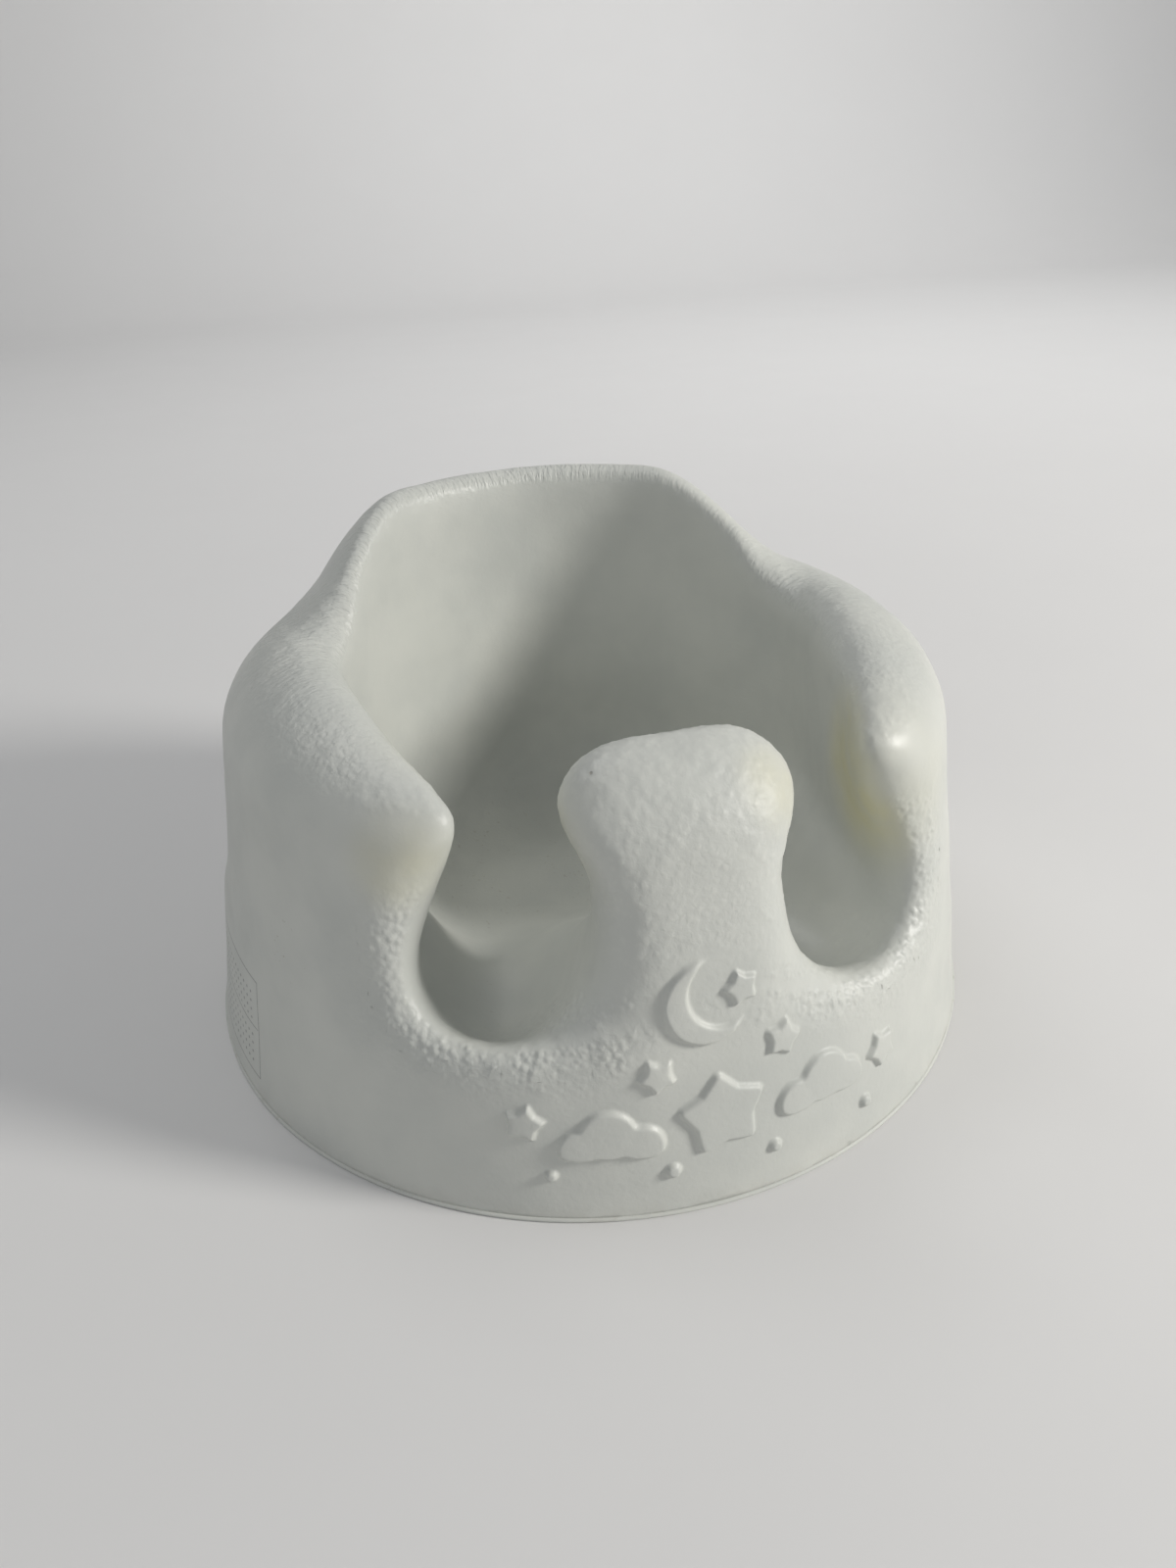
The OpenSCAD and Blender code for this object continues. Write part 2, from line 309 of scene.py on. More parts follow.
def surface_nets(low, high, h):
    """Points and quads of the surface, on a grid of cells of size h."""
    n = [int(round((b - a) / h)) + 1 for a, b in zip(low, high)]
    axes = [a + h * np.arange(m) for a, m in zip(low, n)]
    grid = np.stack(np.meshgrid(*axes, indexing="ij"), -1)
    value = seat_field(grid)
    cells = [m - 1 for m in n]
    total, count, crossings = np.zeros(cells + [3]), np.zeros(cells), []
    for a in range(3):
        near, far = [slice(None)] * 3, [slice(None)] * 3
        near[a], far[a] = slice(0, -1), slice(1, None)
        f0, f1 = value[tuple(near)], value[tuple(far)]
        change = (f0 < 0) != (f1 < 0)
        at = np.argwhere(change)
        point = grid[tuple(near)][change].copy()
        point[:, a] += f0[change] / (f0[change] - f1[change]) * h
        b, c = [k for k in range(3) if k != a]
        for db, dc in ((0, 0), (0, -1), (-1, 0), (-1, -1)):
            cell = neighbour_cells(at, b, c, db, dc)
            ok = (cell >= 0).all(1) & (cell < np.array(cells)).all(1)
            np.add.at(total, tuple(cell[ok].T), point[ok])
            np.add.at(count, tuple(cell[ok].T), 1)
        crossings.append((a, b, c, at, f0[change] < 0))
    used = count > 0
    index = -np.ones(cells, int)
    index[used] = np.arange(used.sum())
    points = total[used] / count[used][:, None]
    quads = []
    for a, b, c, at, inside in crossings:
        corner = [neighbour_cells(at, b, c, db, dc) for db, dc in ((-1, -1), (0, -1), (0, 0), (-1, 0))]
        ok = (corner[0] >= 0).all(1) & (at[:, b] < cells[b]) & (at[:, c] < cells[c])
        q = np.stack([index[tuple(cell[ok].T)] for cell in corner], 1)
        # along y the two other axes are in the other order, so those faces turn the other way
        flip = ~inside[ok] if a != 1 else inside[ok]
        q[flip] = q[flip][:, ::-1]
        quads.append(q)
    return points, np.concatenate(quads)


def relax(points, quads):
    """Evens the points out: each goes towards the middle of its neighbours and back onto the surface."""
    times, share = 4, 0.7
    a = quads.reshape(-1)
    b = np.roll(quads, -1, axis=1).reshape(-1)
    for _ in range(times):
        total, count = np.zeros_like(points), np.zeros(len(points))
        for u, v in ((a, b), (b, a)):
            np.add.at(total, u, points[v])
            np.add.at(count, u, 1)
        points = points + share * (total / count[:, None] - points)
        points = onto_surface(points, 5.0)
    return onto_surface(points, 2.0)


# ---- raised motifs on the front: signed distances, negative inside ----

def circle(s, z, cs, cz, r):
    return np.hypot(s - cs, z - cz) - r


def star(s, z, cs, cz, r, turn):
    """Five points, soft at their tips, turned by an angle."""
    waist, soft = 0.56, 0.16
    u, v = s - cs, z - cz
    radius, angle = np.hypot(u, v), np.arctan2(u, v) + turn
    half = math.pi / 5
    sector = np.abs((angle + half) % (2 * half) - half)
    px, py = radius * np.cos(sector), radius * np.sin(sector)
    tip_x = r * (1 - soft)
    ex = r * waist * math.cos(half) - tip_x
    ey = r * waist * math.sin(half)
    length = math.hypot(ex, ey)
    side = ((px - tip_x) * -ey + py * ex) / length
    along = np.clip(((px - tip_x) * ex + py * ey) / length ** 2, 0, 1)
    near = np.hypot(px - tip_x - along * ex, py - along * ey)
    return np.where(side > 0, -near, near) - r * soft


def moon(s, z, cs, cz, r, turn):
    """A crescent: a disc with a bite whose middle lies away at an angle."""
    away, bite_r, soft = 0.46, 0.78, 2.5
    u, v = s - cs, z - cz
    bite = circle(u, v, away * r * math.cos(turn), away * r * math.sin(turn), bite_r * r)
    return big(circle(u, v, 0, 0, r), -bite, soft)


def cloud(s, z, cs, cz, size, lean):
    """Three round puffs on a flat foot, mirrored where lean is -1."""
    places = ((-0.74, -0.14, 0.52), (-0.1, 0.16, 0.7), (0.66, -0.12, 0.55))
    foot, soft, foot_soft = 0.52, 2.5, 4.0
    puffs = [circle(s, z, cs + lean * across * size, cz + up * size, r * size) for across, up, r in places]
    joined = small(small(puffs[0], puffs[1], soft), puffs[2], soft)
    return big(joined, cz - foot * size - z, foot_soft)


# each motif with its sideways place, its height, its size, and its turn or lean
MOTIFS = (
    (moon, -4, 93, 18.5, 0.5),
    (star, 10.5, 96.5, 8.5, 0.25),
    (star, 1, 43, 19.0, 0.1),
    (cloud, -43, 37, 17.5, 1),
    (cloud, 46, 40, 18.0, -1),
    (star, -25, 65, 8.5, 0.5),
    (star, 28, 69, 9.0, -0.3),
    (star, -77, 46, 9.0, -0.2),
    (star, 81, 40, 9.5, 0.4),
    (circle, -20, 21, 3.8),
    (circle, 23, 20, 3.4),
    (circle, -67, 22, 3.2),
    (circle, 70, 19, 3.6),
)


def motifs(s, z):
    """Signed distance to the nearest raised motif, sideways and up on the front wall."""
    return np.minimum.reduce([shape(s, z, *sizes) for shape, *sizes in MOTIFS])


def front_place(p):
    """Sideways place and height of each point on the front wall, and whether it is on that wall."""
    t = np.arctan2(p[:, 0], -p[:, 1])
    return RELIEF_R * t, p[:, 2], (p[:, 1] < RELIEF_Y) & (np.abs(t) < RELIEF_ANGLE)


# ---- patterns, and what the surface is at each point ----

def waves(p, length, seed):
    """Smooth uneven field of about unit size whose bumps are length mm apart."""
    count, least, most = 40, 0.7, 1.4
    rng = np.random.default_rng(seed)
    k = rng.normal(size=(count, 3))
    k *= (2 * math.pi / length * rng.uniform(least, most, count) / np.linalg.norm(k, axis=1))[:, None]
    phase = rng.uniform(0, 2 * math.pi, count)
    out = np.zeros(len(p))
    for row, shift in zip(k, phase):
        out += np.cos(p @ row + shift)
    return out * math.sqrt(2 / count)


def pebbles(p, size, seed):
    """Rounded pebbles about size mm apart: 1 on top of one and 0 between them."""
    cell_primes = (73856093, 19349663, 83492791)
    place_primes, places = (2654435, 4022871, 1274126), 1009
    far, reach = 9.0, 0.8
    q = p / size
    cell = np.floor(q).astype(np.int64)
    nearest = np.full(len(p), far)
    for step in np.ndindex(3, 3, 3):
        c = cell + np.array(step) - 1
        mixed = c * np.array(cell_primes)
        code = mixed[:, 0] ^ mixed[:, 1] ^ mixed[:, 2] ^ seed
        jitter = np.stack([((code * m) >> 7) % places / places for m in place_primes], 1)
        nearest = np.minimum(nearest, np.linalg.norm(c + jitter - q, axis=1))
    return 1 - ramp(nearest, 0.0, reach)


def lip_share(p, from_opening, front, inside):
    """Pebbled lip around the front of the leg openings, calmer beside the post and a little patchy."""
    x, z = np.abs(p[:, 0]), p[:, 2]
    lip = front * ramp(from_opening, *LIP_START) * (1 - ramp(from_opening, *LIP_END))
    lip = lip * (1 - ramp(z, *LIP_Z)) * (1 - inside)
    calm = 1 - LIP_CALM * ramp(z, *LIP_CALM_Z) * (1 - ramp(x, *LIP_CALM_X))
    size, length, seed = LIP_WAVES
    return lip * (calm * np.clip(LIP_MEAN + size * waves(p, length, seed), 0, 1))


def shares(p):
    """What the surface is at each point, as shares from 0 to 1."""
    x, y, z = np.abs(p[:, 0]), p[:, 1], p[:, 2]
    from_wall, from_opening = np.abs(wall_field(x, y, z)), np.abs(opening_field(x, y, z))
    slope = unit(gradient(p, 2.0))
    outward = (slope[:, 0] * p[:, 0] + slope[:, 1] * y) / np.maximum(np.hypot(x, y), 1.0)
    facing_up = slope[:, 2] - OUTWARD_LESS * ramp(outward, *OUTWARD)
    post = 1 - ramp(np.abs(post_field(x, y, z)), *POST_NEAR)
    rim = ramp(facing_up, *FACING_UP) * ramp(z, *RIM_Z)
    inside = (1 - ramp(from_opening, *OPENING_NEAR)) * ramp(from_wall, *WALL_AWAY)
    outside = 1 - ramp(from_wall, *WALL_NEAR)
    front = ramp(-y, *FRONT_Y)
    post_face = front * (1 - ramp(x, *FACE_X)) * ramp(z, *FACE_Z)
    lip = lip_share(p, from_opening, front, inside)
    channel = inside * ramp(-y, *CHANNEL_Y) * (1 - ramp(z, *CHANNEL_Z))
    s, height, on_front = front_place(p)
    beside = np.where(on_front, 1 - ramp(motifs(s, height), *MOTIF_NEAR), 0.0)
    post_grain = post * ramp(z, *POST_GRAIN_Z)
    grain = np.maximum.reduce([rim, FACE_GRAIN * post_face, LIP_GRAIN * lip, CHANNEL_GRAIN * channel,
                               POST_GRAIN * post_grain])
    strokes = rim * np.maximum(ramp(z, *STROKES_Z), ramp(y, *STROKES_Y))
    calm = 1 - BACK_CALM * ramp(p[:, 0], *BACK_CALM_X) * ramp(y, *BACK_CALM_Y)
    return {"grain": grain * calm * (1 - MOTIF_CLEARS_GRAIN * beside), "strokes": strokes, "inside": inside,
            "outside": outside, "lip": lip * (1 - MOTIF_CLEARS_LIP * beside)}


# ---- meshes ----

def new_object(name, mesh):
    obj = bpy.data.objects.new(name, mesh)
    bpy.context.scene.collection.objects.link(obj)
    return obj


def read_points(mesh):
    co = np.empty(len(mesh.vertices) * 3, np.float32)
    mesh.vertices.foreach_get("co", co)
    return co.reshape(-1, 3).astype(float) / MM


def write_points(mesh, p):
    mesh.vertices.foreach_set("co", (p * MM).astype(np.float32).reshape(-1))
    mesh.update()


def store(mesh, name, values):
    attribute = mesh.attributes.new(name, "FLOAT", "POINT")
    attribute.data.foreach_set("value", np.clip(values, 0, 1).astype(np.float32))


def smooth_all(mesh):
    mesh.polygons.foreach_set("use_smooth", np.ones(len(mesh.polygons), bool))


# which places get finer cells: heights and places in mm, and least shares of grain and lip
FINER_Z = 6
MOTIF_REACH, MOTIF_TOP = (12, 7, 2), -3.6
BENT_BY, BENT_Z = 0.3, 45
CHANNEL_END_Y, CHANNEL_TOP_Z = -70, 130
GRAIN_LEAST, LIP_LEAST = 0.4, (0.1, 0.4)


def needs_finer(p, level):
    """Marks the points between which the mesh is halved, at each of three levels.

    First come bends, motifs and the floor near the channels, then the motifs and the pebbles in
    front, and last the edges of the motifs and the lip.
    """
    x, y, z = np.abs(p[:, 0]), p[:, 1], p[:, 2]
    s, up, front = front_place(p)
    share, d = shares(p), motifs(s, up)
    front &= z > FINER_Z
    by_motif = front & (d < MOTIF_REACH[level])
    if level == 0:
        bent = np.minimum(np.abs(wall_field(x, y, z)), np.abs(opening_field(x, y, z))) > BENT_BY
        by_channels = (y < CHANNEL_END_Y) & (z < CHANNEL_TOP_Z) & (share["inside"] > 0.5)
        return (bent & (z > BENT_Z)) | by_motif | by_channels
    if level == 1:
        return by_motif | ((y < -FINE_Y) & ((share["grain"] > GRAIN_LEAST) | (share["lip"] > LIP_LEAST[0])))
    return (by_motif & (d > MOTIF_TOP)) | (share["lip"] > LIP_LEAST[1])


def make_seat():
    """Mesh of the whole outside down to the moulding line, with finer cells where it needs them."""
    low = (-NET_HALF, -NET_HALF, -NET_BELOW_CELLS * NET_CELL)
    points, quads = surface_nets(low, (NET_HALF, NET_HALF, NET_TOP), NET_CELL)
    points = relax(points, quads)
    mesh = bpy.data.meshes.new("seat_skin")
    mesh.from_pydata((points * MM).tolist(), [], quads.tolist())
    bm = bmesh.new()
    bm.from_mesh(mesh)
    # an edge with four faces, where the surface meets itself on a crest, becomes one point
    pinched = [e for e in bm.edges if len(e.link_faces) > 2]
    bmesh.ops.collapse(bm, edges=pinched)
    cut = bmesh.ops.bisect_plane(bm, geom=bm.verts[:] + bm.edges[:] + bm.faces[:],
                                 plane_co=(0, 0, WALL_BOTTOM * MM), plane_no=(0, 0, 1), clear_inner=True)
    rim = [e for e in cut["geom_cut"] if isinstance(e, bmesh.types.BMEdge)]
    bmesh.ops.edgeloop_fill(bm, edges=rim)
    for level in range(3):
        bm.verts.ensure_lookup_table()
        finer = needs_finer(np.array([v.co for v in bm.verts]) / MM, level)
        edges = [e for e in bm.edges if finer[e.verts[0].index] and finer[e.verts[1].index]]
        bmesh.ops.subdivide_edges(bm, edges=edges, cuts=1, use_grid_fill=True)
        bm.verts.index_update()
    # faces with a straight corner are cut into triangles while they are flat, as pebbles move it
    most_corners, straight_angle = 8, 2.7
    straight = [f for f in bm.faces if 3 < len(f.verts) <= most_corners
                and max(c.calc_angle() for c in f.loops) > straight_angle]
    bmesh.ops.triangulate(bm, faces=straight, quad_method="BEAUTY", ngon_method="BEAUTY")
    bm.to_mesh(mesh)
    bm.free()
    return new_object("seat_skin", mesh)


def raised_motifs(p):
    """Height of the motifs at each point: a steep edge and a slightly crowned top."""
    edge_share, crown_share, edge_w, crown_w = 0.85, 0.15, 2.0, 4
    s, z, on_front = front_place(p)
    deep = np.maximum(-motifs(s, z), 0)
    raised = (RELIEF_H * edge_share * ramp(deep, 0.0, edge_w)
              + RELIEF_H * crown_share * (1 - np.exp(-deep / crown_w)))
    return np.where(on_front, raised, 0.0)


def surface_bumps(p, grain, lip):
    """Height of the modelled waves and pebbles at each point."""
    fine = ramp(-p[:, 1], FINE_Y, FINE_Y + FINE_FADE)
    size, length, seed = WALL_WAVES
    bumps = size * waves(p, length, seed) * ramp(p[:, 2], *WALL_WAVES_Z)
    on_lip = [size * pebbles(p, apart, seed) for size, apart, seed in LIP_PEBBLES]
    bumps += (on_lip[0] + on_lip[1] - LIP_SINK) * lip
    size, apart, seed = FACE_PEBBLES
    on_face = size * pebbles(p, apart, seed) * grain * (1 - lip) * fine
    size, length, seed = FACE_WAVES
    return bumps + (on_face + size * waves(p, length, seed) * grain)


def finish_seat(obj):
    """Puts every point on the surface, stores the masks of the finish, and adds relief and pebbles."""
    mesh = obj.data
    p = read_points(mesh)
    bottom = p[:, 2] < WALL_BOTTOM + CUT_ERROR
    on = onto_surface(p, 1.0, 2)
    on[bottom, 2] = p[bottom, 2]
    p = on
    normal = unit(gradient(p, 0.8))
    share = shares(p)
    for name, values in share.items():
        store(mesh, name, values)
    z = p[:, 2]
    flare = FLARE * (1 - np.clip(z / FLARE_H, 0, 1)) ** 2 * (z < FLARE_H)
    p = p + normal * (raised_motifs(p) + surface_bumps(p, share["grain"], share["lip"]))[:, None]
    p = p + unit(np.stack([p[:, 0], p[:, 1], 0 * z], 1)) * flare[:, None]
    write_points(mesh, p)
    smooth_all(mesh)


# radius and height in mm of the underside's profile, from the middle out around the moulding line
UNDERSIDE_PROFILE = (
    (0.0, 0.0), (40.0, 0.0), (80.0, 0.0), (120.0, 0.0), (150.0, 0.0), (172.0, 0.0), (184.0, 0.0),
    (189.4, 0.0), (190.4, 0.05), (190.8, 0.25), (191.0, 0.6), (190.95, 1.0), (190.75, 1.35),
    (190.45, 1.6), (190.15, 1.75), (189.8, 1.8), (189.5, 1.4), (189.4, 0.9), (186.0, 0.85),
    (120.0, 0.85), (0.0, 0.85),
)
UNDERSIDE_STEPS = 240


def moulding_line_waver(a):
    """How far the moulding line strays from its circle at an angle."""
    return 0.12 * math.sin(3 * a + 1) + 0.08 * math.sin(11 * a)


def make_underside():
    """Flat skin under the seat, with the thin moulding line that stands out around its edge."""
    verts, faces, rings = [], [], []
    for r, z in UNDERSIDE_PROFILE:
        if r == 0:
            rings.append([len(verts)])
            verts.append((0.0, 0.0, z))
            continue
        rings.append(list(range(len(verts), len(verts) + UNDERSIDE_STEPS)))
        for k in range(UNDERSIDE_STEPS):
            a = 2 * math.pi * k / UNDERSIDE_STEPS
            uneven = r + (moulding_line_waver(a) if r > BASE_R else 0.0)
            verts.append((uneven * math.cos(a), uneven * math.sin(a), z))
    for low, up in zip(rings, rings[1:]):
        for k in range(UNDERSIDE_STEPS):
            j = (k + 1) % UNDERSIDE_STEPS
            if len(low) == 1:
                faces.append((low[0], up[j], up[k]))
            elif len(up) == 1:
                faces.append((low[k], low[j], up[0]))
            else:
                faces.append((low[k], low[j], up[j], up[k]))
    mesh = bpy.data.meshes.new("underside")
    mesh.from_pydata([(x * MM, y * MM, z * MM) for x, y, z in verts], [], faces)
    mesh.validate()
    smooth_all(mesh)
    return new_object("underside", mesh)


# ---- materials ----

class Finish:
    """A node material with short calls for the nodes that it is built from."""

    def __init__(self, name):
        self.material = bpy.data.materials.new(name)
        self.material.use_nodes = True
        self.tree = self.material.node_tree
        self.tree.nodes.clear()
        self.output = self.node("ShaderNodeOutputMaterial")
        self.shader = self.node("ShaderNodeBsdfPrincipled")
        self.tree.links.new(self.shader.outputs[0], self.output.inputs[0])
        self.place = self.node("ShaderNodeTexCoord").outputs["Object"]

    def node(self, kind, **settings):
        n = self.tree.nodes.new(kind)
        for key, value in settings.items():
            setattr(n, key, value)
        return n

    def put(self, socket, value):
        if isinstance(value, bpy.types.NodeSocket):
            self.tree.links.new(value, socket)
        else:
            socket.default_value = value

    def surface(self, **values):
        for name, value in values.items():
            self.put(self.shader.inputs[name.replace("_", " ")], value)

    def math(self, operation, *values):
        n = self.node("ShaderNodeMath", operation=operation)
        for socket, value in zip(n.inputs, values):
            self.put(socket, value)
        return n.outputs[0]

    def plus(self, a, b):
        return self.math("ADD", a, b)

    def minus(self, a, b):
        return self.math("SUBTRACT", a, b)

    def times(self, a, b):
        return self.math("MULTIPLY", a, b)

    def most(self, a, b):
        return self.math("MAXIMUM", a, b)

    def absolute(self, a):
        return self.math("ABSOLUTE", a)

    def length(self, a, b):
        return self.math("SQRT", self.plus(self.times(a, a), self.times(b, b)))

    def scaled(self, factors):
        n = self.node("ShaderNodeVectorMath", operation="MULTIPLY")
        self.put(n.inputs[0], self.place)
        self.put(n.inputs[1], factors)
        return n.outputs["Vector"]

    def noise(self, pattern, at=None, warp=0.0):
        """Noise of a scale per metre, a number of octaves and a roughness."""
        n = self.node("ShaderNodeTexNoise")
        self.put(n.inputs["Vector"], at or self.place)
        for name, value in zip(("Scale", "Detail", "Roughness"), pattern):
            self.put(n.inputs[name], value)
        self.put(n.inputs["Distortion"], warp)
        return n.outputs["Fac"]

    def patches(self, pattern, limits, at=None, warp=0.0):
        """Noise cut between two limits, from 0 to 1 or between two other values."""
        return self.step(self.noise(pattern, at, warp), *limits)

    def cells(self, scale, smooth):
        n = self.node("ShaderNodeTexVoronoi", feature="SMOOTH_F1")
        self.put(n.inputs["Vector"], self.place)
        self.put(n.inputs["Scale"], scale)
        self.put(n.inputs["Smoothness"], smooth)
        return n.outputs["Distance"]

    def step(self, value, low, high, to_low=0.0, to_high=1.0):
        n = self.node("ShaderNodeMapRange", interpolation_type="SMOOTHSTEP")
        names = ("Value", "From Min", "From Max", "To Min", "To Max")
        for name, v in zip(names, (value, low, high, to_low, to_high)):
            self.put(n.inputs[name], v)
        return n.outputs[0]

    def fall(self, value, low, high):
        """1 below low and 0 above high."""
        return self.step(value, low, high, 1.0, 0.0)

    def mix(self, share, a, b):
        n = self.node("ShaderNodeMix", data_type="RGBA")
        self.put(n.inputs["Factor"], share)
        for name, v in (("A", a), ("B", b)):
            self.put([i for i in n.inputs if i.name == name and i.type == "RGBA"][0], v)
        return [o for o in n.outputs if o.type == "RGBA"][0]

    def mask(self, name):
        return self.node("ShaderNodeAttribute", attribute_name=name).outputs["Fac"]

    def spot(self, place_mm, near, far):
        """1 within near mm of a point and 0 beyond far mm."""
        n = self.node("ShaderNodeVectorMath", operation="DISTANCE")
        self.put(n.inputs[0], self.place)
        self.put(n.inputs[1], tuple(c * MM for c in place_mm))
        return self.fall(n.outputs["Value"], near * MM, far * MM)

    def bump(self, height_mm):
        n = self.node("ShaderNodeBump")
        self.put(n.inputs["Strength"], 1.0)
        self.put(n.inputs["Distance"], MM)
        self.put(n.inputs["Height"], height_mm)
        self.put(self.shader.inputs["Normal"], n.outputs[0])


FOAM = (0.61, 0.62, 0.575, 1)
FOAM_DEEP = (0.54, 0.555, 0.52, 1)
YELLOW_STAIN_AND_BOUNCE = (0.63, 0.60, 0.38, 1)
GRIME_AND_SHADE = (0.30, 0.25, 0.19, 1)
PRINT = (0.13, 0.13, 0.125, 1)
FLOOR_COLOURS = ((0.71, 0.705, 0.695, 1), (0.73, 0.725, 0.715, 1))
FOAM_IOR = 1.46

# noise patterns: scale per metre, octaves and roughness, then the limits between which each is cut
HIDE = (380.0, 2.0, 0.5), (0.34, 0.64)
DRAWN_OUT = (400.0, 2.0, 0.55), (0.36, 0.64)
BOWL_HAZE = (230.0, 2.0, 0.5), (0.3, 0.7)
SCRATCHES = (1.0, 1.0, 0.4), (0.66, 0.70)
CLOUDING = (16.0, 3.0, 0.6), (0.3, 0.75)
STAIN_AND_BOUNCE_PATCHES = (38.0, 3.0, 0.6), (0.25, 0.7, 0.45, 1.0)
SPECKS = (420.0, 2.0, 0.6), (0.66, 0.72)
LOW_BAND = (90.0, 3.0, 0.6), (0.35, 0.65)
INK = (520.0, 2.0, 0.6), (0.3, 0.5, 0.55, 1.0)
SHEEN = (34.0, 3.0, 0.6), (0.3, 0.7, -0.05, 0.06)
SPECKLE = (480.0, 3.0, 0.65)
DOME_SCALE, DOME_SOFT, DOME_EDGE = 300.0, 0.4, (0.05, 0.62)
DOME_SHARE, HIDE_SHARE = 0.6, 0.4
HIDE_WARP, DRAWN_WARP, SCRATCH_WARP, RUB_WARP = 0.3, 0.2, 1.5, 0.8

# depths in mm of the finish
GRAIN_MM, MODELLED_LESS_MM, STROKE_MM, WALL_MM, LIP_MM = 0.26, 0.16, 0.08, 0.05, 0.12
SKIN_MM = (((700.0, 2.0, 0.55), 0.05), ((70.0, 1.0, 0.5), 0.22))
BOWL_MM, SPECKLE_MM, VENT_MM, SCRATCH_MM = 0.03, 0.22, 0.9, 0.05

# shares of the colours and of the roughness, and heights in metres where the darker band at the bottom and
# the speckle end
PIT_EDGE, PIT_SHADE_SHARE = (0.35, 0.75), 0.35
STAIN_AND_BOUNCE_SHARE, BOUNCE_STAIN_OUTSIDE = 0.95, 0.25
SPECK_SHARE, LOW_BAND_SHARE, VENT_SHADE_SHARE, CHIP_SHARE, FLOOR_SPECKS = 0.6, 0.10, 0.85, 0.3, 0.5
INK_SHARE = 0.75
ROUGH, ROUGH_INSIDE, ROUGH_GRAIN, ROUGH_STAIN_AND_BOUNCE = 0.44, -0.06, 0.02, -0.05
SPECKLE_Z, LOW_BAND_Z = (0.030, 0.075), (0.001, 0.010)

# marks: place in mm, full within the first distance and gone beyond the second, and a share
VENTS = (
    ((-109.7, 30.6, 189.9), 0.3, 1.3),
    ((-34.1, -133.2, 175.5), 0.3, 1.2),
    ((60.0, 128.0, 216.0), 0.3, 1.2),
    ((118.0, 60.0, 190.0), 0.3, 1.2),
)
CHIP = ((-117.7, -118.0, 145.9), 0.4, 1.3)
SCRATCHED = ((100.0, 20.0, 130.0), 15, 60)
SPECKLED = ((-154.7, -84.0, 92.7), 3, 22)
# yellow patch inside the right arm: partly a stain and partly painted bounce light
MAIN_STAIN_AND_BOUNCE = ((93.0, -104.0, 134.0), 12, 52)
STAINS = (
    ((34.5, -147.0, 165.4), 3, 24, 0.4),
    ((-106.8, -124.4, 147.4), 3, 28, 0.42),
    ((-40.0, -128.0, 150.0), 4, 30, 0.35),
    ((-96.0, -80.0, 150.0), 5, 36, 0.25),
)

# printed panel in metres: place around the left side and up, half sizes, line and rows of dots
PANEL_ANGLE, PANEL_R, PANEL_Z = math.radians(84.5), 0.184, 0.0365
PANEL_HALF_W, PANEL_HALF_H, PANEL_LINE = 0.050, 0.0255, 0.00028
DOT_PITCH, DOT_ROUND, PANEL_PHASE = 0.0046, (0.13, 0.19), 0.1
RULE_EDGE, DOTS_EDGE, RULE_GAP = (-0.0012, -0.0008), (-0.0052, -0.0048), (0.0028, 0.0032)


def fan_place(f, x, y, z):
    """Places that make noise run out across the back rim as strokes."""
    around, outward = 0.15, 0.38
    fan = f.node("ShaderNodeCombineXYZ")
    f.put(fan.inputs[0], f.times(f.math("ARCTAN2", x, y), around))
    f.put(fan.inputs[1], f.times(f.length(x, y), outward))
    f.put(fan.inputs[2], f.times(z, outward))
    return fan.outputs[0]


def scratch_lines(f, inside):
    """Fine scratches inside on the right, drawn out one way and cut off sharply."""
    stretch = (14.0, 90.0, 420.0)
    lines = f.patches(*SCRATCHES, at=f.scaled(stretch), warp=SCRATCH_WARP)
    return f.times(lines, f.times(f.spot(*SCRATCHED), inside))


def panel_ink(f, x, y, z):
    """Printed panel on the left side: a thin frame with a rule across it and plain rows of dots."""
    thin, thick = PANEL_LINE * 0.7, PANEL_LINE * 1.3
    angle = f.math("ARCTAN2", f.times(x, -1.0), f.times(y, -1.0))
    along = f.times(f.minus(angle, PANEL_ANGLE), PANEL_R)
    up = f.minus(z, PANEL_Z)
    edge = f.most(f.minus(f.absolute(along), PANEL_HALF_W), f.minus(f.absolute(up), PANEL_HALF_H))
    border = f.fall(f.absolute(edge), thin, thick)
    rule = f.times(f.fall(f.absolute(up), thin, thick), f.fall(edge, *RULE_EDGE))
    u, v = [f.minus(f.math("FRACT", f.math("DIVIDE", f.plus(place, PANEL_PHASE), DOT_PITCH)), 0.5)
            for place in (along, up)]
    dots = f.times(f.fall(f.length(u, v), *DOT_ROUND), f.fall(edge, *DOTS_EDGE))
    dots = f.times(dots, f.step(f.absolute(up), *RULE_GAP))
    ink = f.most(f.most(border, rule), dots)
    return f.times(ink, f.patches(*INK))


